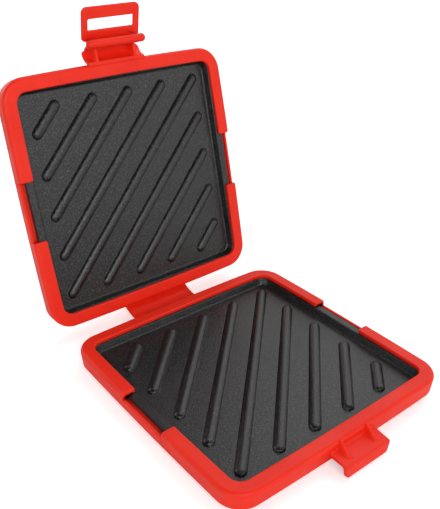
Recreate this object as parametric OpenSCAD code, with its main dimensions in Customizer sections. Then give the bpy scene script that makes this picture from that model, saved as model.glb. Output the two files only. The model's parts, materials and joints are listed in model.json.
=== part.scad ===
// Hinged two-half press for toasting a filled sandwich in a microwave oven.
// Two soft frames carry a ribbed tray each, and a strap and a fold-over flap join them.
// It stands open on the base half, with the origin under the middle of that half.

/* [Halves] */
// Width and depth over one soft frame
side = 160; // [140:1:190]
// Height of one half, from its foot ring to the parting plane
half_h = 16; // [15.5:0.5:22]
// Radius of a frame's outer corners in plan
corner_r = 15.8; // [15:0.1:19]
// Gap between the two frames when the lid is shut
parting_gap = 0.2; // [0.1:0.1:0.6]

/* [Frame section] */
// Width of the lip that laps the tray
lip_w = 9; // [8:0.5:10]
// Thickness of the lip
lip_t = 2.6; // [2.4:0.1:3]
// Radius of the lip's outer edge
lip_round = 2.2; // [1.2:0.1:2.3]
// Bevel along the lip's inner edge
lip_bevel = 0.9; // [0.3:0.1:1.5]
// Height of the side wall below the parting plane
wall_h = 11; // [10:0.5:13]
// Thickness of the side wall
wall_t = 2.3; // [1.8:0.1:3]
// How far the side wall leans in over its height
draft = 1; // [0.2:0.1:1.3]
// How far the foot ring stands in from the side
foot_in = 7.5; // [7:0.5:8]
// Width of the foot ring under the half
foot_w = 5.5; // [4:0.5:6]

/* [Side notches] */
// Length of the notch in the middle of each side lip
notch_len = 37.8; // [20:0.2:60]
// Depth of the notch below the parting plane
notch_h = 4.2; // [3.5:0.1:5]
// Radius of the lip's corners at the notch
notch_r = 1.6; // [0.5:0.1:2.5]

/* [Tray] */
// Thickness of the tray's metal
tray_t = 1.2; // [0.8:0.1:1.6]
// Depth of the tray's floor below the parting plane
tray_deep = 7.5; // [7:0.1:8]
// How far the rim of the tray lies in from the frame's side
rim_in = 5; // [4.5:0.1:5.5]
// Width of the tray's flat rim
rim_w = 5.4; // [5:0.1:6]
// How far the tray's side leans in over its height
tray_draft = 0.8; // [0.3:0.1:1]
// Bevel at the tray's bends
tray_bend = 0.8; // [0.3:0.1:1.1]
// Clearance between pieces that are held in each other
seat_gap = 0.1; // [0.05:0.01:0.2]

/* [Tray ribs] */
// Number of slanted ribs on the tray
rib_count = 9; // [3:2:9]
// Spacing of the ribs, square to their length
rib_pitch = 18.4; // [12:0.1:19]
// Half the side of the square that the ribs end on
rib_reach = 61.8; // [55:0.1:62.5]
// Width of a rib at the tray's floor
rib_base_w = 6.8; // [5:0.1:8]
// Width of a rib at its shoulders, where the flank turns to the crest
rib_shoulder_w = 4.2; // [3.6:0.1:4.8]
// Width of a rib's flat crest
rib_crest_w = 2.2; // [1.5:0.1:3]
// Height of a rib above the floor
rib_h = 2.4; // [1.5:0.1:3]
// Height of the slope between a rib's shoulder and its crest
rib_slope = 0.7; // [0.3:0.1:1]

/* [Heating layer] */
// Thickness of the heating layer under the tray's floor
layer_t = 3.6; // [2.5:0.1:4.5]
// Thickness of the heating layer's edge under the tray's rim
layer_edge_t = 2.5; // [1.5:0.1:3]
// How far the heating layer's deep part lies in from its edge
layer_step = 2; // [1.5:0.1:2.5]

/* [Lid hinge] */
// Angle that the lid stands open at
open_angle = 104; // [90:1:110]
// Distance of the hinge line behind the frame's side
hinge_back = 7.2; // [6:0.1:10]
// Depth of the hinge line below the base's parting plane
hinge_drop = 10.4; // [9:0.1:11]
// Width of the hinge strap
strap_w = 50; // [30:1:80]
// Thickness of the hinge strap
strap_t = 1.8; // [1.2:0.1:2.4]
// Depth of the strap's roots on the side walls below the parting plane
strap_at = 8; // [7.5:0.1:8.5]
// How far the strap sags between its roots
strap_sag = 4.6; // [3:0.1:5]

/* [Catch on the base] */
// Width of the catch
catch_w = 34; // [24:1:50]
// How far the catch stands out from the side
catch_out = 11; // [10:0.1:12]
// Depth of the catch's shelf below the parting plane, at the side wall
catch_top = 5.6; // [5:0.1:6.5]
// How far the shelf falls towards its outer edge
catch_fall = 1.4; // [0.5:0.1:2]
// Thickness of the shelf and of its hooked lip
catch_t = 2.6; // [2:0.1:3]
// Depth of the hooked lip's tip below the parting plane
catch_tip = 15.3; // [14:0.1:15.4]
// How much narrower the hooked lip is at its tip
catch_taper = 3; // [0:0.5:6]
// Distance between the catch's two gussets
gusset_gap = 20; // [12:0.5:22]
// How far a gusset reaches out over the shelf
gusset_out = 8.5; // [5:0.1:9]

/* [Latch on the lid] */
// Width of the latch's trough
trough_w = 41; // [38:1:56]
// Inner radius of the trough's curve
trough_r = 8; // [7:0.1:9]
// Distance from the frame's side to the inside of the trough's curve
trough_out = 0.5; // [0.3:0.1:1]
// Depth of the centre of the trough's curve behind the parting plane
trough_drop = 2; // [1:0.1:3]
// Thickness of the trough's web
trough_t = 2; // [1.5:0.1:2.5]
// Distance between the two ribs in the trough
trough_rib_gap = 27.3; // [16:0.1:30]
// Width of the wall that closes the trough, and of the tab on it
latch_w = 34; // [32:1:36]
// Thickness of the trough's ribs and of the catch's gussets
rib_t = 2.4; // [1.6:0.1:3.2]
// Length of the round bar across the latch, over its domed ends
bar_len = 41.8; // [36:0.2:56]
// Diameter of the bar
bar_d = 5.2; // [4:0.1:5.6]
// How far the bar's axis stands out from the wall that closes the trough
bar_out = 0.7; // [0.2:0.1:1.2]
// Depth of the bar's axis behind the parting plane
bar_drop = 2.9; // [2.5:0.1:3]

/* [Latch flap] */
// Width of the pull flap
flap_w = 40.6; // [39.6:0.2:56]
// Length of the flap past its fold line
flap_len = 18.8; // [16:0.2:26]
// Thickness of the flap
flap_t = 2.2; // [1.6:0.1:2.4]
// Radius of the flap's corners
flap_r = 3.5; // [2:0.1:5]
// Angle that the flap leans towards the parting plane
flap_lean = 22; // [10:1:30]
// Distance of the flap's fold line from the bar's axis, away from the hinge
fold_out = 4; // [3.9:0.1:6]
// Height of the flap's fold line above the parting plane
fold_up = 3.1; // [2.5:0.1:4]
// Length of the lobes that the flap has beside its fold line
lobe_len = 2; // [1:0.1:2.5]
// Gap along the flap's fold line and beside its lobes
fold_gap = 0.3; // [0.3:0.05:0.6]
// Width of the slot in the flap
slot_w = 32.3; // [22:0.1:34]
// Height of the slot in the flap
slot_h = 6.9; // [5:0.1:8]
// Distance of the slot from the fold line
slot_at = 4.6; // [3.5:0.1:6]
// Radius of the slot's corners
slot_r = 1; // [0.4:0.1:2]

/* [Hidden] */
silicone = [0.93, 0.22, 0.16];
coated = [0.2, 0.2, 0.21];
ferrite = [0.12, 0.12, 0.13];
smooth = 64;
// Overlap of a moulded feature with the wall that carries it
root = 1.2;

half = side / 2;
corner_c = half - corner_r;

// Depths below the parting plane, from the lip down to the ledge that carries the heating layer
rim_top = lip_t + seat_gap;
edge_top = rim_top + tray_t;
edge_under = edge_top + layer_edge_t;
floor_under = tray_deep + tray_t;
layer_under = floor_under + layer_t;

// Distances in from the frame's side
tray_side = rim_in + rim_w;
floor_side = tray_side + tray_draft;
floor_in = floor_side + tray_bend + tray_t / 2;
under_bend = tray_bend + (2 - sqrt(2)) * tray_t;
layer_side = rim_in + layer_step;
foot_end = foot_in + foot_w;

hinge_y = half + hinge_back;
hinge_z = half_h - hinge_drop;

catch_under = catch_top + catch_t;
catch_y = -half - catch_out;

// Middle of the trough's curve, which the wall that closes it starts at, and that wall's outer face
trough_y = -half - trough_out - trough_r;
wall_out = trough_y - trough_t;
bar_y = wall_out - bar_out;
fold_y = bar_y - fold_out;

// Runs a section once around a half.
// In the section x runs out from the side face and y runs up from the parting plane.
module around() {
    for (turn = [0 : 90 : 270])
        rotate([0, 0, turn]) {
            translate([half, corner_c, 0])
                rotate([90, 0, 0])
                    linear_extrude(2 * corner_c) children();
            translate([corner_c, corner_c, 0])
                rotate_extrude(angle = 90, $fn = smooth)
                    translate([corner_r, 0]) children();
        }
}

// Slab that fills the plan of a half up to a distance in from its side face
module slab(inset, height) {
    span = side - 2 * inset;
    linear_extrude(height) {
        square([span, 2 * corner_c], center = true);
        square([2 * corner_c, span], center = true);
        for (x = [-corner_c, corner_c], y = [-corner_c, corner_c])
            translate([x, y]) circle(corner_r - inset, $fn = smooth);
    }
}

// Extrudes a side view along X, centred. In the side view x is the part's Y and y is its Z.
module across(width) {
    translate([-width / 2, 0, 0])
        rotate([90, 0, 90])
            linear_extrude(width) children();
}

module frame_section() {
    polygon([
        [-lip_w, -lip_t],
        [-lip_w, -lip_bevel],
        [-lip_w + lip_bevel, 0],
        [-lip_round, 0],
        [0, -lip_round],
        [-draft, -wall_h],
        [-foot_in, -half_h],
        [-foot_end, -half_h],
        [-foot_end, -layer_under],
        [-layer_side + seat_gap, -layer_under],
        [-layer_side + seat_gap, -edge_under],
        [-wall_t, -edge_under],
        [-wall_t, -lip_t]
    ]);
    translate([-lip_round, -lip_round]) circle(lip_round, $fn = smooth);
}

// Plan of one side notch, measured from the lip's inner edge, with the lip's corners rounded
module notch_plan() {
    translate([-root, -notch_len / 2]) square([lip_w + 2 * root, notch_len]);
    for (end = [-1, 1])
        flip_y(end)
            difference() {
                translate([-root, notch_len / 2 - root]) square([root + notch_r, root + notch_r]);
                translate([notch_r, notch_len / 2 + notch_r]) circle(notch_r, $fn = smooth);
            }
}

// Mirrors its children across the XZ plane when the sign is negative
module flip_y(sign) {
    mirror([0, sign < 0 ? 1 : 0, 0]) children();
}

module frame_half() {
    difference() {
        around() frame_section();
        for (turn = [0, 180])
            rotate([0, 0, turn])
                translate([half - lip_w, 0, -notch_h])
                    linear_extrude(notch_h + root) notch_plan();
    }
}

module tray_section() {
    polygon([
        [-rim_in, -rim_top],
        [-tray_side + tray_bend, -rim_top],
        [-tray_side, -rim_top - tray_bend],
        [-floor_side, -tray_deep + tray_bend],
        [-floor_side - tray_bend, -tray_deep],
        [-floor_in, -tray_deep],
        [-floor_in, -floor_under],
        [-floor_side + tray_t - under_bend, -floor_under],
        [-floor_side + tray_t, -floor_under + under_bend],
        [-tray_side + tray_t, -edge_top],
        [-rim_in, -edge_top]
    ]);
}

// Tapered rib with round ends, centred on the origin along X
module tray_rib(length) {
    reach = (length - rib_base_w) / 2;
    sink = tray_t / 2;
    translate([-reach, 0, 0])
        rotate([90, 0, 90])
            linear_extrude(2 * reach)
                polygon([
                    [-rib_base_w / 2, -sink],
                    [rib_base_w / 2, -sink],
                    [rib_base_w / 2, 0],
                    [rib_shoulder_w / 2, rib_h - rib_slope],
                    [rib_crest_w / 2, rib_h],
                    [-rib_crest_w / 2, rib_h],
                    [-rib_shoulder_w / 2, rib_h - rib_slope],
                    [-rib_base_w / 2, 0]
                ]);
    for (end = [-reach, reach])
        translate([end, 0, 0]) {
            translate([0, 0, -sink]) cylinder(h = sink, d = rib_base_w, $fn = smooth);
            cylinder(h = rib_h - rib_slope, d1 = rib_base_w, d2 = rib_shoulder_w, $fn = smooth);
            translate([0, 0, rib_h - rib_slope])
                cylinder(h = rib_slope, d1 = rib_shoulder_w, d2 = rib_crest_w, $fn = smooth);
        }
}

module grill_plate() {
    around() tray_section();
    translate([0, 0, -floor_under]) slab(floor_in - tray_t / 2, tray_t);
    last = (rib_count - 1) / 2;
    translate([0, 0, -tray_deep])
        rotate([0, 0, 45])
            for (i = [-last : last])
                translate([0, i * rib_pitch, 0])
                    tray_rib(2 * (sqrt(2) * rib_reach - abs(i) * rib_pitch));
}

module layer_section() {
    polygon([
        [-rim_in, -edge_top],
        [-tray_side + tray_t + seat_gap, -edge_top],
        [-floor_side + tray_t + seat_gap, -floor_under + under_bend],
        [-floor_side + tray_t + seat_gap - under_bend, -floor_under],
        [-floor_in, -floor_under],
        [-floor_in, -layer_under],
        [-layer_side, -layer_under],
        [-layer_side, -edge_under],
        [-rim_in, -edge_under]
    ]);
}

module heating_layer() {
    around() layer_section();
    translate([0, 0, -layer_under]) slab(floor_in - tray_t / 2, layer_t);
}

// Side view of the catch: a shelf that falls outwards and ends in a lip hooked downwards
module catch_profile() {
    edge_r = catch_t / 2;
    polygon([
        [-half + root, -catch_top],
        [catch_y + edge_r, -catch_top - catch_fall],
        [catch_y, -catch_top - catch_fall - edge_r],
        [catch_y, -catch_tip + edge_r],
        [catch_y + catch_t, -catch_tip + edge_r],
        [catch_y + catch_t, -catch_under],
        [-half + root, -catch_under]
    ]);
    translate([catch_y + edge_r, -catch_top - catch_fall - edge_r]) circle(edge_r, $fn = smooth);
    translate([catch_y + edge_r, -catch_tip + edge_r]) circle(edge_r, $fn = smooth);
}

// Front view of the catch: full width at the shelf, narrower at the tip, with round corners
module catch_front() {
    tip_w = catch_w - catch_taper;
    tip_r = catch_t;
    polygon([
        [-catch_w / 2, 0],
        [catch_w / 2, 0],
        [catch_w / 2, -catch_under],
        [tip_w / 2, -catch_tip + tip_r],
        [tip_w / 2 - tip_r, -catch_tip - root],
        [-tip_w / 2 + tip_r, -catch_tip - root],
        [-tip_w / 2, -catch_tip + tip_r],
        [-catch_w / 2, -catch_under]
    ]);
}

module gusset() {
    across(rib_t)
        polygon([
            [-half + root, 0],
            [-half - seat_gap, 0],
            [-half - gusset_out, -catch_top - catch_fall],
            [-half + root, -catch_top - catch_fall]
        ]);
}

module catch() {
    intersection() {
        across(catch_w) catch_profile();
        translate([0, -half + 2 * root, 0])
            rotate([90, 0, 0])
                linear_extrude(catch_out + 4 * root) catch_front();
    }
    for (x = [-gusset_gap / 2, gusset_gap / 2])
        translate([x, 0, 0]) gusset();
}

// Side view of the room that the trough takes, from inside the frame's wall to half the end wall
module trough_side() {
    reach = trough_out + trough_r + trough_t / 2;
    translate([-half - reach, 0]) square([reach + root, half_h]);
}

// Quarter-round trough on the lid's front side, open towards the parting plane
module trough() {
    across(trough_w)
        intersection() {
            translate([trough_y, -trough_drop])
                difference() {
                    circle(trough_r + trough_t, $fn = smooth);
                    circle(trough_r, $fn = smooth);
                }
            trough_side();
        }
    for (x = [-trough_rib_gap / 2, trough_rib_gap / 2])
        translate([x, 0, 0])
            across(rib_t)
                intersection() {
                    translate([trough_y, -trough_drop]) circle(trough_r + trough_t / 2, $fn = smooth);
                    trough_side();
                }
}

// Round bar along X with domed ends, turned in one piece
module bar() {
    reach = (bar_len - bar_d) / 2;
    rotate([0, 90, 0])
        rotate_extrude($fn = smooth)
            intersection() {
                translate([0, -bar_len / 2]) square([bar_d / 2, bar_len]);
                union() {
                    square([bar_d, 2 * reach], center = true);
                    for (end = [-reach, reach])
                        translate([0, end]) circle(d = bar_d, $fn = smooth);
                }
            }
}

// Places what is drawn along the flap, with the fold line on the X axis and the flap towards -Y
module at_fold() {
    translate([0, fold_y, fold_up])
        rotate([flap_lean, 0, 0]) children();
}

// Side view of the wall that closes the trough, with the tab that the flap folds on
module end_wall_side() {
    tab_end = flap_t / 2 + fold_gap;
    tab_len = (wall_out + trough_t / 2 - fold_y) / cos(flap_lean) - tab_end;
    translate([wall_out, -trough_drop]) square([trough_t, trough_r + trough_t / 2]);
    translate([fold_y, fold_up])
        rotate(flap_lean)
            translate([tab_end, -flap_t / 2]) square([tab_len, flap_t]);
}

module latch() {
    trough();
    across(latch_w) end_wall_side();
    translate([0, bar_y, -bar_drop]) bar();
}

// Plan of the flap, with its slot and the bay that the tab on the lid stands in
module flap_plan() {
    bay_w = latch_w + 2 * fold_gap;
    difference() {
        translate([0, (lobe_len - flap_len) / 2]) rounded([flap_w, flap_len + lobe_len], flap_r);
        translate([-bay_w / 2, 0]) square([bay_w, lobe_len + root]);
        translate([0, -slot_at - slot_h / 2]) rounded([slot_w, slot_h], slot_r);
    }
}

module rounded(size, r) {
    square([size.x - 2 * r, size.y], center = true);
    square([size.x, size.y - 2 * r], center = true);
    for (x = [-1, 1], y = [-1, 1])
        translate([x * (size.x / 2 - r), y * (size.y / 2 - r)]) circle(r, $fn = smooth);
}

module flap() {
    translate([0, 0, -flap_t / 2])
        linear_extrude(flap_t) flap_plan();
    rotate([0, 90, 0])
        cylinder(h = latch_w + 2 * fold_gap, d = flap_t, center = true, $fn = smooth);
}

// Places what is drawn for the shut lid, above its own parting plane, as the lid stands open
module on_lid() {
    translate([0, hinge_y, hinge_z])
        rotate([-open_angle, 0, 0])
            translate([0, -hinge_y, half_h + parting_gap - hinge_z]) children();
}

// Places a half on the lid, upside down
module lid_half() {
    on_lid() rotate([180, 0, 0]) children();
}

// Places a half on the base
module base_half() {
    translate([0, 0, half_h]) children();
}

// Side view of the strap: an arc that sags between its roots on the two side walls
module strap_profile() {
    root_in = draft * (strap_at - lip_round) / (wall_h - lip_round);
    dy = half - root_in - hinge_y;
    dz = half_h + parting_gap + strap_at - hinge_z;
    from = [half - root_in, half_h - strap_at];
    to = [hinge_y + dy * cos(open_angle) + dz * sin(open_angle),
          hinge_z - dy * sin(open_angle) + dz * cos(open_angle)];
    chord = norm(to - from);
    r = (chord * chord / 4 + strap_sag * strap_sag) / (2 * strap_sag);
    middle = (from + to) / 2;
    slope = atan2(to.y - from.y, to.x - from.x);
    spread = asin(chord / 2 / r) + strap_t / 2 / r * 180 / PI;
    translate(middle)
        rotate([0, 0, slope])
            translate([0, r - strap_sag])
                intersection() {
                    difference() {
                        circle(r + strap_t / 2, $fn = 2 * smooth);
                        circle(r - strap_t / 2, $fn = 2 * smooth);
                    }
                    polygon([
                        [0, 0],
                        [-2 * r * tan(spread), -2 * r],
                        [2 * r * tan(spread), -2 * r]
                    ]);
                }
}

module base_frame() {
    color(silicone)
        base_half() {
            frame_half();
            catch();
        }
}

module base_grill_plate() {
    color(coated) base_half() grill_plate();
}

module base_heating_layer() {
    color(ferrite) base_half() heating_layer();
}

module hinge_strap() {
    color(silicone)
        difference() {
            across(strap_w) strap_profile();
            base_half() around() frame_section();
            lid_half() around() frame_section();
        }
}

module lid_frame() {
    color(silicone) {
        lid_half() frame_half();
        on_lid() latch();
    }
}

module lid_grill_plate() {
    color(coated) lid_half() grill_plate();
}

module lid_heating_layer() {
    color(ferrite) lid_half() heating_layer();
}

module latch_flap() {
    color(silicone) on_lid() at_fold() flap();
}

base_frame();
base_grill_plate();
base_heating_layer();
hinge_strap();
lid_frame();
lid_grill_plate();
lid_heating_layer();
latch_flap();
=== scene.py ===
"""Dresses a hinged sandwich press: two soft frames, ribbed trays, a strap and a pull flap."""
import json

import bpy
import numpy as np
from bpy.props import FloatProperty, FloatVectorProperty, IntProperty, PointerProperty
from bpy.types import Operator, Panel, PropertyGroup
from mathutils import Matrix, Vector


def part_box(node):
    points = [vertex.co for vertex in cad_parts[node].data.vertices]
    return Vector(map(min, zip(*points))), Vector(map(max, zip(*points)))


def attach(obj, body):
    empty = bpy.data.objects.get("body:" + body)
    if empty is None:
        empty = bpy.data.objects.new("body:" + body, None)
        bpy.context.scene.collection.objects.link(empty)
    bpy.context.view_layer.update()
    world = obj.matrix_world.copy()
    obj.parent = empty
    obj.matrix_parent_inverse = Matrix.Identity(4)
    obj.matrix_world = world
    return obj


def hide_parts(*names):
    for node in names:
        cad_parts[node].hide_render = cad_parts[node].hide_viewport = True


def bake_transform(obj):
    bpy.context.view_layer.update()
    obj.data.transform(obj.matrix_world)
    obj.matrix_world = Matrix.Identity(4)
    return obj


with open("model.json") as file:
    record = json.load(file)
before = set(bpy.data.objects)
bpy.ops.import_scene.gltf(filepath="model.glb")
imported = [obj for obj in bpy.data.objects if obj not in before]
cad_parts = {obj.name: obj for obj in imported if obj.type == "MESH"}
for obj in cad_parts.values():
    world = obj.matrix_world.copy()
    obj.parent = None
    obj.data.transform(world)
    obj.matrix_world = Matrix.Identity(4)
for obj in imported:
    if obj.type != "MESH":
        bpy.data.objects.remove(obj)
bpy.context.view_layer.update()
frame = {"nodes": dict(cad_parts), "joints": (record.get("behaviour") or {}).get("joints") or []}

bl_info = {
    "name": "Sandwich Press",
    "version": (1, 0, 0),
    "blender": (4, 5, 0),
    "location": "3D View > Sidebar > Press",
    "description": "Makes the mouldings, trays and finishes of a hinged sandwich press",
    "category": "Object",
}

HALF_WIDTH = float(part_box("base_frame")[1][0])
HALF_HEIGHT = float(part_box("base_frame")[1][2])
LID_JOINT = next(j for j in frame["joints"] if j["name"] == "lid_hinge")
OPEN_ANGLE = np.radians(max(LID_JOINT["range_deg"]))
QUARTER = np.pi / 2


def length(name, description, default):
    """A length in metres that a user may change in the sidebar."""
    return FloatProperty(name=name, description=description, default=default, min=0.0,
                         unit="LENGTH", precision=5)


def colour(name, description, default):
    """A colour, as linear light, that a user may change in the sidebar."""
    return FloatVectorProperty(name=name, description=description, default=default, size=3,
                               min=0.0, max=1.0, subtype="COLOR")


class PressFrameSizes(PropertyGroup):
    """Sizes of the two soft frames."""
    corner: length("Corner", "Radius of a frame's outer corners in plan", 0.0158)
    bow: length("Bow", "How far each side swells between its ends", 0.0007)
    parting: length("Parting gap", "Gap between the shut halves", 0.0002)
    lip: length("Lip width", "Width of the lip that laps the tray", 0.009)
    lip_thickness: length("Lip thickness", "Thickness of the lip", 0.0026)
    lip_round: length("Lip roundness", "Radius of the lip's outer edge", 0.0023)
    wall: length("Wall height", "Height of the side wall", 0.011)
    wall_thickness: length("Wall thickness", "Thickness of the side wall", 0.0023)
    draft: length("Draft", "How far the side wall leans in", 0.001)
    foot_inset: length("Foot inset", "How far the foot ring stands in from the side", 0.0075)
    foot: length("Foot width", "Width of the foot ring", 0.0055)
    notch: length("Notch length", "Length of the notch in a side lip", 0.0378)
    notch_depth: length("Notch depth", "Depth of the notch below the parting plane", 0.0042)
    notch_round: length("Notch corner", "Radius of the lip's corner at the notch", 0.0016)


class PressTraySizes(PropertyGroup):
    """Sizes of the two ribbed trays and of the layer behind them."""
    thickness: length("Metal", "Thickness of the tray's metal", 0.0012)
    depth: length("Depth", "Depth of the tray's floor below the parting plane", 0.0075)
    rim_inset: length("Rim inset", "How far the tray's rim lies in from the frame's side", 0.005)
    rim: length("Rim width", "Width of the tray's flat rim", 0.0047)
    draft: length("Draft", "How far the tray's side leans in", 0.0015)
    seat: length("Seat gap", "Clearance between the tray's rim and the lip", 0.0001)
    floor_corner: length("Floor corner", "Smallest corner radius inside the tray", 0.0055)
    bend: length("Floor bend", "Radius where the floor turns up into the side", 0.0011)
    rim_bend: length("Rim bend", "Radius where the side turns out into the rim", 0.0009)
    layer: length("Layer", "Thickness of the heating layer under the floor", 0.0036)
    layer_edge: length("Layer edge", "Thickness of the heating layer's edge", 0.0025)
    layer_step: length("Layer step", "How far the layer's deep part lies in", 0.002)
    ribs: IntProperty(name="Ribs", description="Number of slanted ribs", default=9, min=1)
    rib_pitch: length("Rib pitch", "Spacing of the ribs, square to them", 0.0184)
    rib_reach: length("Rib reach", "Half the side of the square that the ribs end on", 0.0618)
    rib_base: length("Rib base", "Width of a rib at the floor", 0.0068)
    rib_height: length("Rib height", "Height of a rib above the floor", 0.0024)
    rib_foot: length("Rib foot", "Width of the fillet at a rib's foot", 0.0003)


class PressCatchSizes(PropertyGroup):
    """Sizes of the hooked catch on the base half."""
    width: length("Width", "Width of the catch", 0.034)
    reach: length("Reach", "How far the catch stands out", 0.011)
    top: length("Shelf depth", "Depth of the shelf below the parting plane", 0.0056)
    fall: length("Shelf fall", "How far the shelf falls outwards", 0.0014)
    thickness: length("Thickness", "Thickness of the shelf and of the hooked lip", 0.0026)
    tip: length("Tip depth", "Depth of the hooked lip's tip", 0.0153)
    taper: length("Taper", "How much narrower the tip is", 0.003)
    gussets: length("Gusset distance", "Distance between the two gussets", 0.02)
    gusset: length("Gusset thickness", "Thickness of a gusset", 0.0024)
    gusset_reach: length("Gusset reach", "How far a gusset reaches over the shelf", 0.0085)


class PressLatchSizes(PropertyGroup):
    """Sizes of the trough, bar and tab on the lid, and of the pull flap."""
    trough: length("Trough width", "Width of the trough", 0.041)
    radius: length("Trough radius", "Inner radius of the trough's curve", 0.008)
    stand: length("Trough distance", "Distance from the side to the trough's curve", 0.0005)
    drop: length("Trough drop", "Depth of the curve's middle behind the parting plane", 0.002)
    web: length("Web", "Thickness of the trough's web and end wall", 0.002)
    web_corner: length("Web corner", "Radius of the web's free corners", 0.003)
    ribs: length("Rib distance", "Distance between the trough's two ribs", 0.0273)
    rib: length("Rib", "Thickness of the trough's ribs", 0.0024)
    wall: length("End wall", "Width of the wall that closes the trough", 0.034)
    bar_length: length("Bar length", "Length of the bar over its domed ends", 0.0418)
    bar: length("Bar", "Diameter of the bar", 0.0052)
    bar_out: length("Bar distance", "How far the bar's axis stands out from the wall", 0.0007)
    bar_drop: length("Bar drop", "Depth of the bar's axis behind the parting plane", 0.0029)
    lean: FloatProperty(name="Flap lean", description="Angle of the flap to the lid",
                        default=np.radians(22.0), subtype="ANGLE")
    fold_out: length("Fold distance", "Distance of the fold line from the bar's axis", 0.004)
    fold_up: length("Fold height", "Height of the fold line above the parting plane", 0.0031)
    flap: length("Flap width", "Width of the flap", 0.0406)
    flap_length: length("Flap length", "Length of the flap past its fold line", 0.0188)
    flap_thickness: length("Flap thickness", "Thickness of the flap", 0.0022)
    flap_corner: length("Flap corner", "Radius of the flap's far corners", 0.0035)
    lobe: length("Lobe", "Length of the lobes beside the fold line", 0.002)
    fold_gap: length("Fold gap", "Gap along the fold line", 0.0003)
    slot: length("Slot width", "Width of the flap's slot", 0.0323)
    slot_height: length("Slot height", "Height of the flap's slot", 0.0069)
    slot_at: length("Slot distance", "Distance of the slot from the fold line", 0.0046)


class PressStrapSizes(PropertyGroup):
    """Sizes of the strap that the lid turns on."""
    width: length("Width", "Width of the strap", 0.05)
    thickness: length("Thickness", "Thickness of the strap", 0.0018)
    root: length("Root depth", "Depth of the strap's roots below the parting plane", 0.008)
    sag: length("Sag", "How far the strap sags between its roots", 0.0046)


class PressColours(PropertyGroup):
    """Colours of the press and of the stage."""
    silicone: colour("Silicone", "Main colour of the mouldings", (0.84, 0.022, 0.005))
    silicone_deep: colour("Silicone, deep", "Colour of the mouldings' darker drifts",
                          (0.80, 0.018, 0.004))
    coating: colour("Coating", "Main colour of the trays' coating", (0.004, 0.004, 0.0043))
    fleck: colour("Fleck", "Colour of the flecks in the coating", (0.085, 0.085, 0.087))
    layer: colour("Heating layer", "Colour of the heating layers", (0.022, 0.022, 0.024))
    backdrop: colour("Floor", "Colour of the floor", (0.9, 0.9, 0.9))


# Curves and surfaces


def rounded_loop(corners, radii, steps=5, lead=0.00012):
    """A closed loop of points round a polygon whose corners are turned into arcs.

    With unit directions a and b from a corner to its two neighbours and half the angle h between
    them, the arc's middle lies r / sin h from the corner along a + b, and the arc runs between the
    points r / tan h from the corner along a and b. One more point on each straight, a short lead
    outside the arc, keeps the straight's shading flat.
    """
    corner = np.asarray(corners, float)
    r = np.asarray(radii, float)[:, None]
    back = np.roll(corner, 1, 0) - corner
    ahead = np.roll(corner, -1, 0) - corner
    back /= np.linalg.norm(back, axis=1, keepdims=True)
    ahead /= np.linalg.norm(ahead, axis=1, keepdims=True)
    half = 0.5 * np.arccos(np.clip((back * ahead).sum(1), -1, 1))[:, None]
    bisector = back + ahead
    bisector /= np.linalg.norm(bisector, axis=1, keepdims=True)
    middle = corner + bisector * r / np.sin(half)
    start, end = corner + back * r / np.tan(half), corner + ahead * r / np.tan(half)
    turn = (np.pi - 2 * half)[:, :, None]
    t = np.linspace(0, 1, steps + 1)[None, :, None]
    spoke = (np.sin((1 - t) * turn) * (start - middle)[:, None]
             + np.sin(t * turn) * (end - middle)[:, None]) / np.sin(turn)
    arcs = middle[:, None] + spoke
    loop = np.concatenate([(start + back * lead)[:, None], arcs,
                           (end + ahead * lead)[:, None]], axis=1)
    return loop.reshape(-1, 2)


def loop_normals(loops):
    """Unit normals that point out of closed plane loops, an array (loops, points, 2).

    A normal is the tangent, taken between a point's two neighbours, turned by a quarter turn.
    """
    tangent = np.roll(loops, -1, 1) - np.roll(loops, 1, 1)
    normal = np.stack([tangent[..., 1], -tangent[..., 0]], -1)
    normal /= np.maximum(np.linalg.norm(normal, axis=-1, keepdims=True), 1e-12)
    following = np.roll(loops, -1, 1)
    area = (loops[..., 0] * following[..., 1] - loops[..., 1] * following[..., 0]).sum(1)
    return normal * np.sign(area)[:, None, None]


def arc(centre, radius, start, end, count):
    """Points on a circle in the plane, from one angle to another, in radians."""
    q = np.linspace(start, end, count)
    return np.asarray(centre) + radius * np.stack([np.cos(q), np.sin(q)], -1)


def repeated(view, times):
    """The same side view for every station."""
    return np.tile(view, (times, 1, 1))


def smooth_step(value, low, high):
    """0 below low and 1 above high, with 3t^2 - 2t^3 between them."""
    t = np.clip((value - low) / (high - low), 0, 1)
    return t * t * (3 - 2 * t)


def rounded_ends(half_span, radius, inner, steps=5, lead=0.00015):
    """Stations across a moulding and how far its section is drawn in at each, for round ends.

    At the angle q on an end's quarter circle the station lies r (1 - cos q) from the end and the
    section is drawn in by r (1 - sin q). One more station, a short lead further in, keeps the
    shading of what lies between the ends flat.
    """
    q = np.linspace(0, np.pi / 2, steps + 1)
    depth = np.append(radius * (1 - np.cos(q)), radius + lead)
    inset = np.append(radius * (1 - np.sin(q)), 0)
    inner = inner[np.abs(inner) < half_span - radius - 1.5 * lead]
    station = np.concatenate([depth - half_span, inner, (half_span - depth)[::-1]])
    drawn_in = np.concatenate([inset, np.zeros(len(inner)), inset[::-1]])
    return station, drawn_in


def outward(points, faces):
    """The quads, all turned round if the volume that they close comes out negative.

    The volume is the sum over each quad's two triangles of a . (b x c) / 6.
    """
    a, b, c, d = np.moveaxis(points[faces], 1, 0)
    volume = (a * (np.cross(b, c) + np.cross(c, d))).sum()
    return faces[:, ::-1] if volume < 0 else faces


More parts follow.
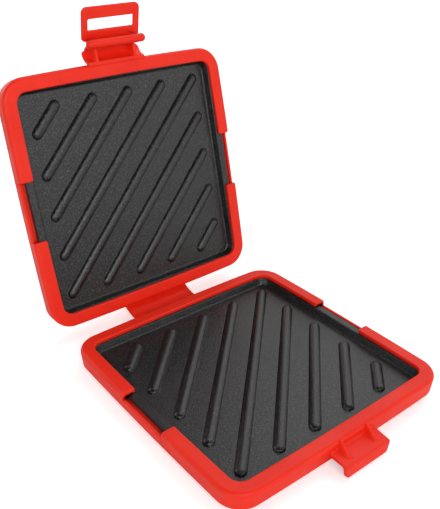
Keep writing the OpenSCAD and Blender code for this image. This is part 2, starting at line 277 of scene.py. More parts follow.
def loft(loops, closed=False):
    """A closed surface through rows of loops: an array (rows, points, 3), with points even.

    Neighbouring rows are joined by quads. The rows close on themselves, or the first and the last
    loop are each closed by rungs, which join a loop's points from its start to those from its end.
    """
    rows, count = loops.shape[:2]
    i, j = np.meshgrid(np.arange(rows if closed else rows - 1), np.arange(count), indexing="ij")
    k, m = (i + 1) % rows, (j + 1) % count
    quads = np.stack([i * count + j, k * count + j, k * count + m, i * count + m], -1)
    faces = quads.reshape(-1, 4)
    if not closed:
        i = np.arange(count // 2 - 1)
        rungs = np.stack([i, i + 1, count - 2 - i, count - 1 - i], -1)
        faces = np.concatenate([faces, rungs, (rows - 1) * count + rungs[:, ::-1]])
    points = loops.reshape(-1, 3)
    return points, outward(points, faces)


def across(side_views, stations, drawn_in=None):
    """A loft along X of side views (rows, points, 2) whose pairs are the part's Y and Z."""
    if drawn_in is not None:
        drawn_in = np.reshape(drawn_in, (len(side_views), -1, 1))
        side_views = side_views - loop_normals(side_views) * drawn_in
    x = np.broadcast_to(np.asarray(stations).reshape(len(side_views), -1, 1),
                        side_views.shape[:2] + (1,))
    return loft(np.concatenate([x, side_views], -1))


def placed(surface, place):
    """The surface with its points moved by a function that keeps its handedness."""
    points, faces = surface
    return place(points), faces


def on_base(points):
    """From a half's own frame, which lies in its parting plane, to the base half."""
    return points + [0, 0, HALF_HEIGHT]


def on_lid(points):
    """From the shut lid's frame, above its parting plane, to the lid as it stands open."""
    hinge = np.array(LID_JOINT["pos_m"], float)
    parting = bpy.context.scene.press_frame.parting
    from_hinge = points + [0, 0, HALF_HEIGHT + parting] - hinge
    c, s = np.cos(OPEN_ANGLE), np.sin(OPEN_ANGLE)
    turned = from_hinge @ np.array([[1, 0, 0], [0, c, -s], [0, s, c]])
    return turned + hinge


def lid_half(points):
    """From a half's own frame, turned upside down about X, to the open lid."""
    return on_lid(points * [1, -1, -1])


def at_fold(points):
    """From the flap's frame, with the fold on X and the flap towards -Y, to the open lid."""
    latch = bpy.context.scene.press_latch
    c, s = np.cos(latch.lean), np.sin(latch.lean)
    turned = points @ np.array([[1, 0, 0], [0, c, s], [0, -s, c]])
    return on_lid(turned + [0, fold_line(latch)[0], fold_line(latch)[1]])


def trough_line(latch):
    """Y of the trough's middle, of its end wall's outer face and of the bar's axis."""
    middle = -HALF_WIDTH - latch.stand - latch.radius
    outer = middle - latch.web
    return middle, outer, outer - latch.bar_out


def fold_line(latch):
    """Y and Z of the flap's fold line in the shut lid's frame."""
    return trough_line(latch)[2] - latch.fold_out, latch.fold_up


def put_piece(name, surfaces, material, body=None, sharp=50.0):
    """Puts closed surfaces into one mesh object and gives it its finish and its body."""
    points = np.concatenate([points for points, _ in surfaces])
    starts = np.cumsum([0] + [len(points) for points, _ in surfaces])
    quads = np.concatenate([faces + start for (_, faces), start in zip(surfaces, starts)])
    mesh = bpy.data.meshes.new(name)
    mesh.from_pydata(points, [], quads)
    mesh.polygons.foreach_set("use_smooth", np.ones(len(quads), bool))
    mesh.set_sharp_from_angle(angle=np.radians(sharp))
    mesh.materials.append(material)
    mesh.validate()
    piece = bpy.data.objects.new(name, mesh)
    bpy.context.scene.collection.objects.link(piece)
    if body:
        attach(piece, body)
    return piece


# Finishes


def new_group(name, inputs, outputs):
    """An empty shader node group with named float inputs and outputs, and its two end nodes."""
    group = bpy.data.node_groups.new(name, "ShaderNodeTree")
    for socket, default in inputs:
        group.interface.new_socket(socket, in_out="INPUT",
                                   socket_type="NodeSocketFloat").default_value = default
    for socket in outputs:
        group.interface.new_socket(socket, in_out="OUTPUT", socket_type="NodeSocketFloat")
    return group, group.nodes.new("NodeGroupInput"), group.nodes.new("NodeGroupOutput")


def add_node(tree, kind, inputs=None, **settings):
    """A node with its settings. Each of its inputs is given a value or the output that it reads."""
    node = tree.nodes.new("ShaderNode" + kind)
    for setting, value in settings.items():
        setattr(node, setting, value)
    for socket, source in (inputs or {}).items():
        if isinstance(source, bpy.types.NodeSocket):
            tree.links.new(source, node.inputs[socket])
        else:
            node.inputs[socket].default_value = source
    return node


def add_noise(group, start, scale, detail):
    """Noise over the object's own coordinates, at the scale of one of the group's inputs."""
    place = add_node(group, "TexCoord")
    return add_node(group, "TexNoise", {"Vector": place.outputs["Object"], "Detail": detail,
                                        "Scale": start.outputs[scale]}).outputs["Fac"]


def grain_group():
    """Fine moulded grain and slow drifts over a surface.

    Height is noise at the grain's scale. Mask is noise at the drift's scale, stretched to 0 to 1.
    """
    group = bpy.data.node_groups.get("Moulded grain")
    if group:
        return group
    group, start, end = new_group("Moulded grain", [("Grain", 1500.0), ("Drift", 30.0)],
                                  ["Mask", "Height"])
    drift = add_node(group, "MapRange", {"Value": add_noise(group, start, "Drift", 2.0),
                                         "From Min": 0.35, "From Max": 0.65})
    group.links.new(drift.outputs["Result"], end.inputs["Mask"])
    group.links.new(add_noise(group, start, "Grain", 3.0), end.inputs["Height"])
    return group


def fleck_group():
    """Pale flecks of a baked-on coating: one noise, faded in above the threshold.

    Height is the same noise, so the flecks stand a little proud.
    """
    group = bpy.data.node_groups.get("Coating flecks")
    if group:
        return group
    group, start, end = new_group("Coating flecks", [("Size", 1200.0), ("Threshold", 0.51)],
                                  ["Mask", "Height"])
    fine = add_noise(group, start, "Size", 4.0)
    over = add_node(group, "Math", {0: fine, 1: start.outputs["Threshold"]}, operation="SUBTRACT")
    mask = add_node(group, "MapRange", {"Value": over.outputs["Value"], "From Max": 0.25})
    group.links.new(mask.outputs["Result"], end.inputs["Mask"])
    group.links.new(fine, end.inputs["Height"])
    return group


def finish(name, first, second, rough, bump, group, values):
    """A finish, made once, that mixes two colours and two roughnesses by its group's mask.

    The group's height bumps it, with the given strength and distance.
    """
    material = bpy.data.materials.get(name)
    if material:
        return material, material.node_tree.nodes["Principled BSDF"]
    material = bpy.data.materials.new(name)
    material.use_nodes = True
    tree = material.node_tree
    shader = tree.nodes["Principled BSDF"]
    pattern = add_node(tree, "Group", node_tree=group)
    for socket, value in values.items():
        pattern.inputs[socket].default_value = value
    mask, height = pattern.outputs["Mask"], pattern.outputs["Height"]
    tint = add_node(tree, "Mix", {"Factor": mask, "A": (*first, 1), "B": (*second, 1)},
                    data_type="RGBA")
    polish = add_node(tree, "MapRange", {"Value": mask, "To Min": rough[0], "To Max": rough[1]})
    relief = add_node(tree, "Bump", {"Strength": bump[0], "Distance": bump[1], "Height": height})
    tree.links.new(tint.outputs["Result"], shader.inputs["Base Color"])
    tree.links.new(polish.outputs["Result"], shader.inputs["Roughness"])
    tree.links.new(relief.outputs["Normal"], shader.inputs["Normal"])
    return material, shader


def silicone_finish():
    """Soft silicone: even colour, broad sheen, fine matt grain."""
    colours = bpy.context.scene.press_colours
    material, shader = finish("Soft silicone", colours.silicone, colours.silicone_deep,
                              (0.42, 0.5), (0.12, 0.0001), grain_group(),
                              {"Grain": 2200.0, "Drift": 45.0})
    shader.inputs["IOR"].default_value = 1.34
    shader.inputs["Subsurface Weight"].default_value = 0.12
    shader.inputs["Subsurface Radius"].default_value = (1.0, 0.12, 0.08)
    shader.inputs["Subsurface Scale"].default_value = 0.0015
    return material


def coating_finish():
    """Dark baked-on coating of the trays, with fine pale flecks."""
    colours = bpy.context.scene.press_colours
    material, shader = finish("Fleck coating", colours.coating, colours.fleck, (0.31, 0.25),
                              (1.0, 0.0002), fleck_group(), {"Size": 1200.0, "Threshold": 0.51})
    shader.inputs["IOR"].default_value = 1.46
    return material


def layer_finish():
    """Matt dark rubber filled with ferrite."""
    colours = bpy.context.scene.press_colours
    paler = tuple(1.6 * value for value in colours.layer)
    return finish("Filled rubber", colours.layer, paler, (0.62, 0.78), (0.3, 0.0002),
                  grain_group(), {"Grain": 1600.0, "Drift": 60.0})[0]


# The press's pieces


def depths(sizes, tray):
    """Depths of the rim's top, and of the rim's, layer edge's, floor's and layer's undersides."""
    rim_top = sizes.lip_thickness + tray.seat
    rim_under = rim_top + tray.thickness
    floor_under = tray.depth + tray.thickness
    return rim_top, rim_under, rim_under + tray.layer_edge, floor_under, floor_under + tray.layer


def frame_sections(sizes, tray):
    """The frame's section beside a notch and in it, as loops with as many points each.

    X runs out from the side face and Y up from the parting plane. The third value marks the points
    of the lip, which only the section beside the notch has in full.
    """
    _, _, edge_under, _, layer_under = depths(sizes, tray)
    foot_end = sizes.foot_inset + sizes.foot
    step = tray.rim_inset + tray.layer_step - tray.seat
    wall, deep = sizes.wall_thickness, sizes.notch_depth
    lower = [(-foot_end, -HALF_HEIGHT), (-sizes.foot_inset, -HALF_HEIGHT),
             (-sizes.draft, -sizes.wall)]
    upper = [(-wall, -edge_under), (-step, -edge_under), (-step, -layer_under),
             (-foot_end, -layer_under)]
    lip = [(0, 0), (-sizes.lip, 0), (-sizes.lip, -sizes.lip_thickness),
           (-wall, -sizes.lip_thickness)]
    low = [(-sizes.draft * deep / sizes.wall, -deep), (-wall, -deep),
           (-wall - 0.00005, -deep - 0.0009), (-wall, -deep - 0.0015)]
    around_lip = [sizes.lip_round, 0.0009, 0.0005, 0.0003]
    foot_radii, seat_radii = [0.0008, 0.0016, 0.0022], [0.0003] * 4
    full = rounded_loop(lower + lip + upper, foot_radii + around_lip + seat_radii)
    notched = rounded_loop(lower + low + upper,
                           foot_radii + [0.0005, 0.0005, 0.0001, 0.0001] + seat_radii)
    per_corner = len(full) // (len(lower) + len(lip) + len(upper))
    in_lip = np.zeros(len(full), bool)
    in_lip[len(lower) * per_corner:(len(lower) + len(lip)) * per_corner] = True
    return full, notched, in_lip


def frame_ring(sizes, tray):
    """The frame's ring in its half's own frame.

    The section is carried round a rounded square. On a side, with t from -1 to 1 between the
    corners' middles, it swells by bow (1 - t^2) over its ends. Beside a notch the lip's end is
    rounded, and in the notch the section is the low one.
    """
    full, notched, in_lip = frame_sections(sizes, tray)
    middle = HALF_WIDTH - sizes.corner
    half_notch, radius = sizes.notch / 2, sizes.notch_round
    q = np.linspace(0, np.pi / 2, 7)
    from_end = radius * (1 - np.cos(q))
    run = np.linspace(half_notch + radius, middle, 7)[1:]
    beside = np.concatenate([from_end + half_notch, run])
    notch_run = np.linspace(-half_notch, half_notch, 9)
    along = np.concatenate([-beside[::-1], notch_run, beside])
    low = np.concatenate([np.zeros(len(beside)), np.ones(len(notch_run)), np.zeros(len(beside))])
    plain = np.linspace(-middle, middle, len(along))
    distance = np.where(low > 0, radius, np.clip(np.abs(along) - half_notch, 0, radius))
    trim = radius - np.sqrt(np.maximum(radius ** 2 - (radius - distance) ** 2, 0))
    edge = 0.0008
    near = np.minimum(distance, edge)
    shrink = edge - np.sqrt(np.maximum(edge ** 2 - (edge - near) ** 2, 0))
    turn = np.linspace(0, np.pi / 2, 18)[1:-1]
    normal = loop_normals(full[None])[0]
    rows = []
    for quarter in range(4):
        has_notch = quarter % 2 == 0
        t = (along if has_notch else plain) / middle
        centre = np.stack([middle - sizes.bow * t ** 2, (middle - sizes.bow) * t], -1)
        out = np.tile([1.0, 0.0], (len(t), 1))
        section = np.tile(full, (len(t), 1, 1))
        if has_notch:
            section -= normal * (shrink[:, None] * in_lip)[..., None]
            cut = (-sizes.lip + trim)[:, None]
            section[..., 0] = np.where(in_lip, np.maximum(section[..., 0], cut), section[..., 0])
            section = np.where(low[:, None, None] > 0, notched, section)
        corner_centre = np.tile([middle - sizes.bow] * 2, (len(turn), 1))
        corner_out = np.stack([np.cos(turn), np.sin(turn)], -1)
        centre = np.concatenate([centre, corner_centre])
        out = np.concatenate([out, corner_out])
        section = np.concatenate([section, np.tile(full, (len(turn), 1, 1))])
        c, s = np.cos(quarter * np.pi / 2), np.sin(quarter * np.pi / 2)
        spin = np.array([[c, s], [-s, c]])
        flat = centre[:, None] + out[:, None] * (sizes.corner + section[..., :1])
        rows.append(np.concatenate([flat @ spin, section[..., 1:]], -1))
    return loft(np.concatenate(rows), closed=True)


def catch_surface(catch):
    """The hooked catch in the base half's own frame.

    A closed side view is carried along X. On its upper line two gussets rise from the shelf to the
    lip: z = shelf + (gusset - shelf) m(x), where m falls from 1 to 0 over a gusset's flank. The
    hooked lip narrows towards its round-cornered tip, so x is scaled by a function of z. The ends
    are rounded only clear of the wall. The side view's points pair off, so its rungs stay inside.
    """
    sunk, fillet, inner_bend, end_round = 0.0012, 0.0012, 0.001, 0.0009
    root, half_t = -HALF_WIDTH + sunk, catch.thickness / 2
    outer, under = -HALF_WIDTH - catch.reach, catch.top + catch.thickness
    y = np.linspace(root, outer + half_t, 34)
    shelf = -catch.top - catch.fall * (root - y) / (root - outer - half_t)
    from_wall = np.clip(-HALF_WIDTH + 0.0003 - y, 0, fillet)
    shelf = shelf + fillet - np.sqrt(fillet ** 2 - (fillet - from_wall) ** 2)
    nose = arc((outer + half_t, -catch.top - catch.fall - half_t), half_t, QUARTER, np.pi, 7)[1:]
    tip = arc((outer + half_t, -catch.tip + half_t), half_t, np.pi, 2 * np.pi, 16)
    bend = arc((outer + catch.thickness + inner_bend, -under - inner_bend), inner_bend, np.pi,
               QUARTER, 6)
    face = np.linspace(nose[-1], tip[0], 8)[1:-1]
    back = np.linspace(tip[-1], bend[0], 8)[1:-1]
    floor = np.linspace(bend[-1], [root, -under], len(y) + 1)[1:]
    rest = np.concatenate([nose, face, tip, back, bend, floor])
    fine = np.linspace(-1, 1, 25) * (catch.gusset / 2 + 0.0009)
    inner = np.concatenate([np.linspace(-1, 1, 29) * catch.width / 2, catch.gussets / 2 + fine,
                            -catch.gussets / 2 + fine])
    station, drawn_in = rounded_ends(catch.width / 2, end_round, np.unique(inner))
    flank = catch.gusset / 2
    rise = 1 - smooth_step(np.abs(np.abs(station) - catch.gussets / 2), flank - 0.0007,
                           flank + 0.0006)
    slope = (catch.top + catch.fall) / (catch.gusset_reach - 0.0003)
    gusset = -0.0002 - np.maximum(-HALF_WIDTH - 0.0003 - y, 0) * slope
    top = shelf + np.maximum(gusset - shelf, 0) * rise[:, None]
    upper = np.stack([np.tile(y, (len(station), 1)), top], -1)
    views = np.concatenate([upper, repeated(rest, len(station))], 1)
    z = views[..., 1]
    fall = np.clip((-under - z) / (catch.tip - under), 0, 1)
    round_tip = np.clip((catch.thickness - catch.tip - z) / catch.thickness, 0, 1)
    narrow = catch.taper / 2 * fall + catch.thickness * (1 - np.sqrt(1 - round_tip ** 2))
    x = station[:, None] * (1 - narrow / (catch.width / 2))
    clear = smooth_step(0.0003 - HALF_WIDTH - views[..., 0], 0, 0.0015)
    return across(views, x, drawn_in[:, None] * clear)


def trough_surface(latch):
    """The trough with its two ribs and its end wall, in the shut lid's frame.

    Its side view runs out along the outer arc, down the end wall and back along the inner arc.
    Where a rib stands, z of the inner line shrinks to 0, so the trough is filled to the parting
    plane. Beyond the end wall's width, the wall's points gather on the web's rim, and the web's
    free corners are rounded: at y they lie c (1 - sqrt(1 - t^2)) further in, where t rises from 0
    to 1 over the radius c.
    """
    middle, outer, _ = trough_line(latch)
    r, big = latch.radius, latch.radius + latch.web
    edge, sole_round = 0.0009, 0.0006
    top = -latch.drop + big
    outer_arc = arc((middle, -latch.drop), big, np.arcsin(latch.drop / big), QUARTER, 22)
    brow = arc((outer + edge, top - edge), edge, QUARTER, np.pi, 6)
    sole = arc((outer + sole_round, -latch.drop + sole_round), sole_round, np.pi, 3 * QUARTER, 5)
    toe = np.array([[middle - 0.0003, -latch.drop], [middle, -latch.drop + 0.0003]])
    face = np.linspace(brow[-1], sole[0], 8)[1:-1]
    back = np.linspace(toe[-1], [middle, r - latch.drop], 10)[1:-1]
    inner_arc = arc((middle, -latch.drop), r, QUARTER, np.arcsin(latch.drop / r), 22)
    end = np.array([[-HALF_WIDTH + 0.0012, 0.0]])
    view = np.concatenate([outer_arc, brow, face, sole, toe, back, inner_arc, end])
    wall_points = slice(len(outer_arc), len(view) - len(inner_arc) - 1)
    inner_points = slice(len(view) - len(inner_arc) - len(back) - 1, len(view) - 1)
    fine = np.linspace(-1, 1, 25) * (latch.rib / 2 + 0.0009)
    step = np.linspace(-1, 1, 9) * 0.0005
    inner = np.concatenate([np.linspace(-1, 1, 25) * latch.trough / 2, latch.ribs / 2 + fine,
                            -latch.ribs / 2 + fine, latch.wall / 2 + step, -latch.wall / 2 + step])
    station, drawn_in = rounded_ends(latch.trough / 2, edge, np.unique(inner))
    views = repeated(view, len(station))
    rise = 1 - smooth_step(np.abs(np.abs(station) - latch.ribs / 2), latch.rib / 2 - 0.0006,
                           latch.rib / 2 + 0.0006)
    z = views[:, inner_points, 1]
    views[:, inner_points, 1] = np.where(z > 0, z * (1 - rise[:, None]), z)
    gone = smooth_step(np.abs(station), latch.wall / 2 - 0.0005, latch.wall / 2 + 0.0005)
    wall = views[:, wall_points]
    rim = np.stack([np.clip(wall[..., 0], middle - latch.web / 2, middle),
                    np.clip(wall[..., 1], r - latch.drop, top)], -1)
    views[:, wall_points] = wall + (rim - wall) * gone[:, None, None]
    corner = latch.web_corner
    t = np.clip(1 - (views[..., 0] - middle) / corner, 0, 1)
    past_wall = np.clip((np.abs(station) - latch.wall / 2)
                        / (latch.trough / 2 - latch.wall / 2), 0, 1)
    narrow = corner * (1 - np.sqrt(1 - t ** 2)) * past_wall[:, None]
    return across(views, station[:, None] - np.sign(station)[:, None] * narrow, drawn_in)


def bar_surface(latch):
    """The bar across the latch: a circle carried along X, whose radius follows two domes."""
    _, _, y = trough_line(latch)
    r, reach = latch.bar / 2, (latch.bar_length - latch.bar) / 2
    q = np.radians(np.linspace(4, 90, 10))
    x = np.concatenate([-reach - r * np.cos(q), [0.0], (reach + r * np.cos(q))[::-1]])
    radius = np.concatenate([r * np.sin(q), [r], (r * np.sin(q))[::-1]])
    ring = arc((0, 0), 1, 0, 2 * np.pi, 41)[:-1]
    views = ring[None] * radius[:, None, None] + [y, -latch.bar_drop]
    return across(views, x)


def tab_surface(latch):
    """The tab that carries the flap, in the flap's frame: a rounded slat carried along X."""
    fold_y, _ = fold_line(latch)
    _, outer, _ = trough_line(latch)
    start = latch.flap_thickness / 2 + latch.fold_gap
    end = (outer + latch.web / 2 - fold_y) / np.cos(latch.lean)
    t = latch.flap_thickness / 2
    view = rounded_loop([(start, -t), (end, -t), (end, t), (start, t)],
                        [0.0006, 0.0002, 0.0002, 0.0006])
    station, drawn_in = rounded_ends(latch.wall / 2, 0.0006, np.linspace(-1, 1, 9)
                                     * latch.wall / 2)
    return across(repeated(view, len(station)), station, drawn_in)


def fold_surface(latch):
    """The thin skin that the flap folds on, in the flap's frame: a thin slat carried along X."""
    t, reach = latch.flap_thickness / 2, latch.flap_thickness
    y = np.linspace(-reach, reach, 13)
    thin = 0.3 * t * np.ones_like(y)
    view = np.concatenate([np.stack([y, thin], -1), np.stack([y[::-1], -thin], -1)])
    station = np.linspace(-1, 1, 9) * (latch.wall / 2 - 0.0006)
    return across(repeated(view, len(station)), station)


def flap_surface(latch):
    """The pull flap in its own frame, fold line on X.

    The rows go round the slot. Each is a loop between a point of the slot's outline and one of the
    flap's: at the angle q on an edge's quarter circle the loop lies r (1 - cos q) inside the
    outline and r (1 - sin q) below the face.
    """
    half, t = latch.flap / 2, latch.flap_thickness / 2
    bay = latch.wall / 2 + latch.fold_gap
    far, near = -latch.flap_length, latch.lobe
    corner = latch.flap_corner
    lobe = (half - bay) * 0.92
    outer = rounded_loop([(half, far), (half, near), (bay, near), (bay, t), (-bay, t),
                          (-bay, near), (-half, near), (-half, far)],
                         [corner, lobe * 0.8, lobe * 0.15, 0.0003, 0.0003, lobe * 0.15,
                          lobe * 0.8, corner], steps=7)
    low, high = -latch.slot_at - latch.slot_height, -latch.slot_at
    wide = latch.slot / 2
    share = wide / 3
    inner = rounded_loop([(wide, low), (wide, high), (wide - 0.0012, high + 0.00002),
                          (share, high), (-share, high), (-wide + 0.0012, high + 0.00002),
                          (-wide, high), (-wide, low)], [0.0009, 0.0005, 0.0001, 0.0001, 0.0001,
                                                         0.0001, 0.0005, 0.0009], steps=7)
    edge = 0.0007
    q = np.linspace(0, np.pi / 2, 5)
    into = np.append(edge * (1 - np.cos(q)), edge + 0.00015)
    under = np.append(edge * (1 - np.sin(q)), 0)
    outer_in = -loop_normals(outer[None])[0]
    inner_in = loop_normals(inner[None])[0]
    z = t - under
    outer_half = outer[:, None] + outer_in[:, None] * into[None, :, None]
    inner_half = inner[:, None] + inner_in[:, None] * into[None, :, None]

    def layer(flat, height):
        """Plane points with their heights beside them."""
        tall = np.broadcast_to(height[None, :, None], flat.shape[:2] + (1,))
        return np.concatenate([flat, tall], -1)

    loops = np.concatenate([layer(outer_half, z), layer(inner_half[:, ::-1], z[::-1]),
                            layer(inner_half, -z), layer(outer_half[:, ::-1], -z[::-1])], 1)
    return loft(loops, closed=True)


def strap_surface(sizes, strap):
    """The strap, in the part's frame.

    Its side view is an arc through its two roots that sags by s over a chord c, so its radius is
    (c^2 / 4 + s^2) / 2s, with half its thickness to either side.
    """
    root_in = sizes.draft * strap.root / sizes.wall
    first = np.array([HALF_WIDTH - root_in - 0.0006, HALF_HEIGHT - strap.root])
    second = on_lid(np.array([[0, HALF_WIDTH - root_in - 0.0006, strap.root]]))[0, 1:]
    chord = np.linalg.norm(second - first)
    radius = (chord ** 2 / 4 + strap.sag ** 2) / (2 * strap.sag)
    along = (second - first) / chord
    up = np.array([-along[1], along[0]])
    middle = (first + second) / 2 + up * (radius - strap.sag)
    spread = np.arcsin(chord / 2 / radius)
    q = np.linspace(-spread, spread, 33)
    ray = np.outer(np.sin(q), along) - np.outer(np.cos(q), up)
    t = strap.thickness / 2
    view = np.concatenate([middle + ray * (radius - t), (middle + ray * (radius + t))[::-1]])
    station, drawn_in = rounded_ends(strap.width / 2, t * 0.9, np.linspace(-1, 1, 11)
                                     * strap.width / 2)
    return across(repeated(view, len(station)), station, drawn_in), first, second


def square_rings(half, radius, steps=9):
    """Rounded squares of the given half sides and corner radii, as loops of points.

    A quarter runs from the middle of one corner's arc to the middle of the next, round the one
    through the angle q, along the side by s times its straight half, and round the other.
    """
    q = np.radians(np.linspace(0, 45, steps + 1))
    q = np.concatenate([-q[:0:-1], np.zeros(steps), q[1:]])
    s = np.concatenate([-np.ones(steps), np.linspace(-1, 1, steps), np.ones(steps)])
    half, radius = np.asarray(half)[:, None], np.asarray(radius)[:, None]
    straight = half - radius
    x, y = straight + radius * np.cos(q), s * straight + radius * np.sin(q)
    return np.concatenate([np.stack(quarter, -1)
                           for quarter in ((x, y), (-y, x), (-x, -y), (y, -x))], 1)


def tray_surface(sizes, tray):
    """A tray without its ribs, in its half's own frame.

    The section runs from the floor's middle out over the bend, up the side, over the rim and back
    under it to the middle of the floor's underside. Each of its points makes a rounded square.
    """
    rim_top, rim_under, _, floor_under, _ = depths(sizes, tray)
    side = tray.rim_inset + tray.rim
    foot, middle = side + tray.draft, 0.06
    section = rounded_loop([(-foot - middle, -tray.depth), (-foot, -tray.depth), (-side, -rim_top),
                            (-tray.rim_inset, -rim_top), (-tray.rim_inset, -rim_under),
                            (-side + tray.thickness, -rim_under),
                            (-foot + tray.thickness, -floor_under),
                            (-foot - middle, -floor_under)],
                           [0.0001, tray.bend, tray.rim_bend, 0.0003, 0.0003, 0.0003,
                            tray.bend + tray.thickness, 0.0001])
    per_corner = len(section) // 8
    section = section[per_corner - 1:1 - per_corner]
    radius = np.maximum(sizes.corner + section[:, 0], tray.floor_corner)
    flat = square_rings(HALF_WIDTH + section[:, 0], radius)
    height = np.broadcast_to(section[:, None, 1:], flat.shape[:2] + (1,))
    return loft(np.concatenate([flat, height], -1))


def rib_surface(tray, offset, steps=12, root=0.0006):
    """One rib at an offset from the tray's diagonal, in the half's own frame.

    Its rings are outlines at a distance d round the rib's middle line, and their height is
    h sqrt(1 - (d / w)^2) for half the base width w. A quarter circle fillets the foot, and the
    root is sunk in the floor.
    """
    half, foot = tray.rib_base / 2, tray.rib_foot
    reach = np.sqrt(2) * tray.rib_reach - abs(offset) - half
    t = np.linspace(np.arcsin(foot / tray.rib_height), np.radians(89), 14)
    q = np.radians(np.linspace(0, 75, 5))
    edge = half * np.cos(t[0])
    distance = np.concatenate([[edge + foot], edge + foot * (1 - np.sin(q)), half * np.cos(t)])
    height = np.concatenate([[-root], foot * (1 - np.cos(q)), tray.rib_height * np.sin(t)])
    angle = np.linspace(-np.pi / 2, np.pi / 2, 2 * steps)
    angle = np.roll(np.concatenate([angle, angle + np.pi]), -steps)
    end = np.roll(np.repeat([1.0, -1.0], 2 * steps), -steps)
    along = reach * end + distance[:, None] * np.cos(angle)
    aside = offset + distance[:, None] * np.sin(angle)
    z = np.broadcast_to(height[:, None] - tray.depth, along.shape)
    return loft(np.stack([(along - aside) / np.sqrt(2), (along + aside) / np.sqrt(2), z], -1))


class PRESS_OT_frames(Operator):
    """Make the two soft frames, with the catch and the latch that are moulded on them"""
    bl_idname = "press.frames"
    bl_label = "Soft frames"

    def execute(self, context):
        scene = context.scene
        sizes, tray, latch = scene.press_frame, scene.press_tray, scene.press_latch
        ring = frame_ring(sizes, tray)
        silicone = silicone_finish()
        base = [placed(ring, on_base), placed(catch_surface(scene.press_catch), on_base)]
        piece = put_piece("base_moulding", base, silicone, "base")
        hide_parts("base_frame")
        lid = [placed(ring, lid_half), placed(trough_surface(latch), on_lid),
               placed(bar_surface(latch), on_lid), placed(tab_surface(latch), at_fold)]
        piece = put_piece("lid_moulding", lid, silicone, "lid")
        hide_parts("lid_frame")
        return {"FINISHED"}


class PRESS_OT_trays(Operator):
    """Make the two ribbed trays"""
    bl_idname = "press.trays"
    bl_label = "Ribbed trays"

    def execute(self, context):
        scene = context.scene
        sizes = scene.press_tray
        offsets = (np.arange(sizes.ribs) - (sizes.ribs - 1) / 2) * sizes.rib_pitch
        tray = [tray_surface(scene.press_frame, sizes)] + [rib_surface(sizes, offset)
                                                           for offset in offsets]
        coating = coating_finish()
        for name, place, body, node in (("base_tray", on_base, "base", "base_grill_plate"),
                                        ("lid_tray", lid_half, "lid", "lid_grill_plate")):
            piece = put_piece(name, [placed(surface, place) for surface in tray], coating,
                              body)
            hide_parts(node)
        return {"FINISHED"}


class PRESS_OT_layers(Operator):
    """Finish the two heating layers, whose solids are right as they are"""
    bl_idname = "press.layers"
    bl_label = "Heating layers"

    def execute(self, context):
        finish = layer_finish()
        for name in ("base_heating_layer", "lid_heating_layer"):
            mesh = frame["nodes"][name].data
            mesh.materials.clear()
            mesh.materials.append(finish)
        return {"FINISHED"}


class PRESS_OT_strap(Operator):
    """Make the strap that joins the two halves"""
    bl_idname = "press.strap"
    bl_label = "Hinge strap"

    def execute(self, context):
        scene = context.scene
        surface, first, second = strap_surface(scene.press_frame, scene.press_strap)
        piece = put_piece("strap_web", [surface], silicone_finish())
        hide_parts("hinge_strap")
        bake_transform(piece)
        return {"FINISHED"}


class PRESS_OT_flap(Operator):
    """Make the pull flap and the thin skin that it folds on"""
    bl_idname = "press.flap"
    bl_label = "Pull flap"

    def execute(self, context):
        latch = context.scene.press_latch
        silicone = silicone_finish()
        piece = put_piece("flap_moulding", [placed(flap_surface(latch), at_fold)], silicone,
                          "flap")
        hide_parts("latch_flap")
        skin = put_piece("fold_skin", [placed(fold_surface(latch), at_fold)], silicone)
        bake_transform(skin)
        return {"FINISHED"}


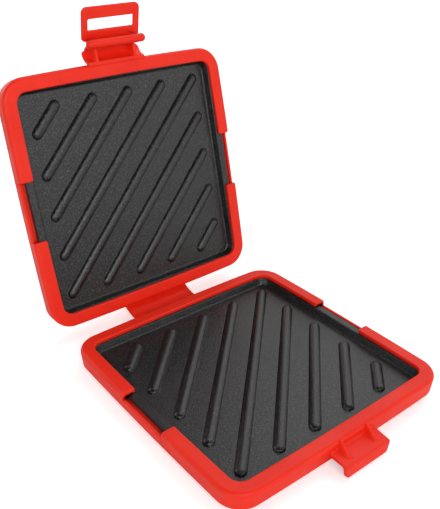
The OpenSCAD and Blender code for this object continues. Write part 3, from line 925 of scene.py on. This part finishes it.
class PRESS_OT_stage(Operator):
    """Make the floor, the lights, the world and the camera"""
    bl_idname = "press.stage"
    bl_label = "Stage"

    def execute(self, context):
        scene = context.scene
        self.floor(scene)
        self.world(scene)
        self.lights(scene)
        self.camera(scene)
        scene.view_settings.view_transform = "Standard"
        return {"FINISHED"}

    def floor(self, scene):
        """A wide pale floor that keeps its shadows and pales into the backdrop far from the press.

        The camera sees a glow on it, 0.45 up to half a metre away and 1 from 1.6 m on.
        """
        span = 6.0
        mesh = bpy.data.meshes.new("floor")
        mesh.from_pydata([(-span, -span, -0.0001), (span, -span, -0.0001), (span, span, -0.0001),
                          (-span, span, -0.0001)], [], [(0, 1, 2, 3)])
        floor = bpy.data.objects.new("floor", mesh)
        scene.collection.objects.link(floor)
        material = bpy.data.materials.new("Floor")
        material.use_nodes = True
        tree = material.node_tree
        shader = tree.nodes["Principled BSDF"]
        shader.inputs["Base Color"].default_value = (*scene.press_colours.backdrop, 1)
        shader.inputs["Roughness"].default_value = 1.0
        shader.inputs["Specular IOR Level"].default_value = 0.0
        shader.inputs["Emission Color"].default_value = (1, 1, 1, 1)
        place = add_node(tree, "TexCoord")
        away = add_node(tree, "VectorMath", {0: place.outputs["Object"]}, operation="LENGTH")
        fade = add_node(tree, "MapRange", {"Value": away.outputs["Value"], "From Min": 0.5,
                                           "From Max": 1.6, "To Min": 0.45, "To Max": 1.0},
                        interpolation_type="SMOOTHSTEP")
        rays = add_node(tree, "LightPath")
        glow = add_node(tree, "Math", {0: rays.outputs["Is Camera Ray"],
                                       1: fade.outputs["Result"]}, operation="MULTIPLY")
        tree.links.new(glow.outputs["Value"], shader.inputs["Emission Strength"])
        mesh.materials.append(material)

    def world(self, scene):
        """A pale room with a dark ceiling for the rays that see it, and dim light for the rest.

        Camera, glossy and transmission rays see strength 1, falling to 0.02 at the ceiling. Matt
        surfaces are lit with strength 0.25 from everywhere.
        """
        world = bpy.data.worlds.new("Studio")
        scene.world = world
        world.use_nodes = True
        tree = world.node_tree
        background = tree.nodes["Background"]
        background.inputs["Color"].default_value = (1, 1, 1, 1)
        place = add_node(tree, "TexCoord")
        split = add_node(tree, "SeparateXYZ", {"Vector": place.outputs["Generated"]})
        ceiling = add_node(tree, "MapRange", {"Value": split.outputs["Z"], "From Min": 0.35,
                                              "From Max": 0.7, "To Min": 1.0, "To Max": 0.02},
                           interpolation_type="SMOOTHSTEP")
        rays = add_node(tree, "LightPath")
        seen = rays.outputs["Is Camera Ray"]
        for kind in ("Is Glossy Ray", "Is Transmission Ray"):
            seen = add_node(tree, "Math", {0: seen, 1: rays.outputs[kind]},
                            operation="MAXIMUM").outputs["Value"]
        strength = add_node(tree, "MapRange", {"Value": seen, "To Min": 0.25,
                                               "To Max": ceiling.outputs["Result"]})
        tree.links.new(strength.outputs["Result"], background.inputs["Strength"])

    def lights(self, scene):
        """Wide soft boxes aimed at the press."""
        target = Vector((0.0, 0.03, 0.06))
        for name, place, size, power in (("key", (-0.5, -1.25, 0.8), 0.7, 11.0),
                                         ("front", (0.8, -1.6, 0.6), 1.6, 7.2),
                                         ("top", (0.75, 0.3, 1.2), 1.2, 9.0),
                                         ("side", (-1.35, -0.2, 0.3), 0.9, 3.5),
                                         ("back", (-0.4, 1.3, 0.8), 1.2, 6.0)):
            lamp = bpy.data.lights.new(name, "AREA")
            lamp.size = size
            lamp.energy = power
            light = bpy.data.objects.new(name, lamp)
            light.location = place
            light.rotation_euler = (target - Vector(place)).to_track_quat("-Z", "Y").to_euler()
            scene.collection.objects.link(light)

    def camera(self, scene):
        """The camera at the photograph's viewpoint, from the fitted azimuth, elevation and roll."""
        azimuth, elevation, roll = np.radians([38.66, 28.88, -0.53])
        picture_height, focal_pixels, sensor = 509, 693.73, 36.0
        back = Vector((-np.sin(azimuth) * np.cos(elevation), -np.cos(azimuth) * np.cos(elevation),
                       np.sin(elevation)))
        right = (-back).cross(Vector((0, 0, 1))).normalized()
        up = back.cross(right)
        right, up = (right * np.cos(roll) - up * np.sin(roll),
                     right * np.sin(roll) + up * np.cos(roll))
        lens = bpy.data.cameras.new("camera")
        lens.sensor_width = sensor
        lens.lens = focal_pixels * sensor / picture_height
        camera = bpy.data.objects.new("camera", lens)
        camera.matrix_world = Matrix((
            (right.x, up.x, back.x, -0.2239), (right.y, up.y, back.y, -0.2470),
            (right.z, up.z, back.z, 0.2531 + HALF_HEIGHT), (0, 0, 0, 1)))
        scene.collection.objects.link(camera)
        scene.camera = camera


class PRESS_PT_panel(Panel):
    """Lists the press's pieces and their sizes in the sidebar."""
    bl_idname = "PRESS_PT_panel"
    bl_label = "Sandwich press"
    bl_space_type = "VIEW_3D"
    bl_region_type = "UI"
    bl_category = "Press"

    def draw(self, context):
        for operator in OPERATORS:
            self.layout.operator(operator.bl_idname)
        for name, group in GROUPS.items():
            box = self.layout.box()
            box.label(text=group.__doc__)
            for size in group.__annotations__:
                box.prop(getattr(context.scene, name), size)


OPERATORS = (PRESS_OT_frames, PRESS_OT_trays, PRESS_OT_layers, PRESS_OT_strap, PRESS_OT_flap,
             PRESS_OT_stage)
GROUPS = {"press_frame": PressFrameSizes, "press_tray": PressTraySizes,
          "press_catch": PressCatchSizes, "press_latch": PressLatchSizes,
          "press_strap": PressStrapSizes, "press_colours": PressColours}
CLASSES = (*GROUPS.values(), *OPERATORS, PRESS_PT_panel)


def register():
    """Adds the classes and gives the scene its groups of sizes."""
    for cls in CLASSES:
        bpy.utils.register_class(cls)
    for name, group in GROUPS.items():
        setattr(bpy.types.Scene, name, PointerProperty(type=group))


def unregister():
    """Takes away what register added."""
    for name in GROUPS:
        delattr(bpy.types.Scene, name)
    for cls in reversed(CLASSES):
        bpy.utils.unregister_class(cls)


def main():
    """Makes every piece and the stage."""
    register()
    for operator in OPERATORS:
        group, name = operator.bl_idname.split(".")
        if getattr(getattr(bpy.ops, group), name)() != {"FINISHED"}:
            raise RuntimeError(f"{operator.bl_label} wasn't made")


if __name__ == "__main__":
    main()
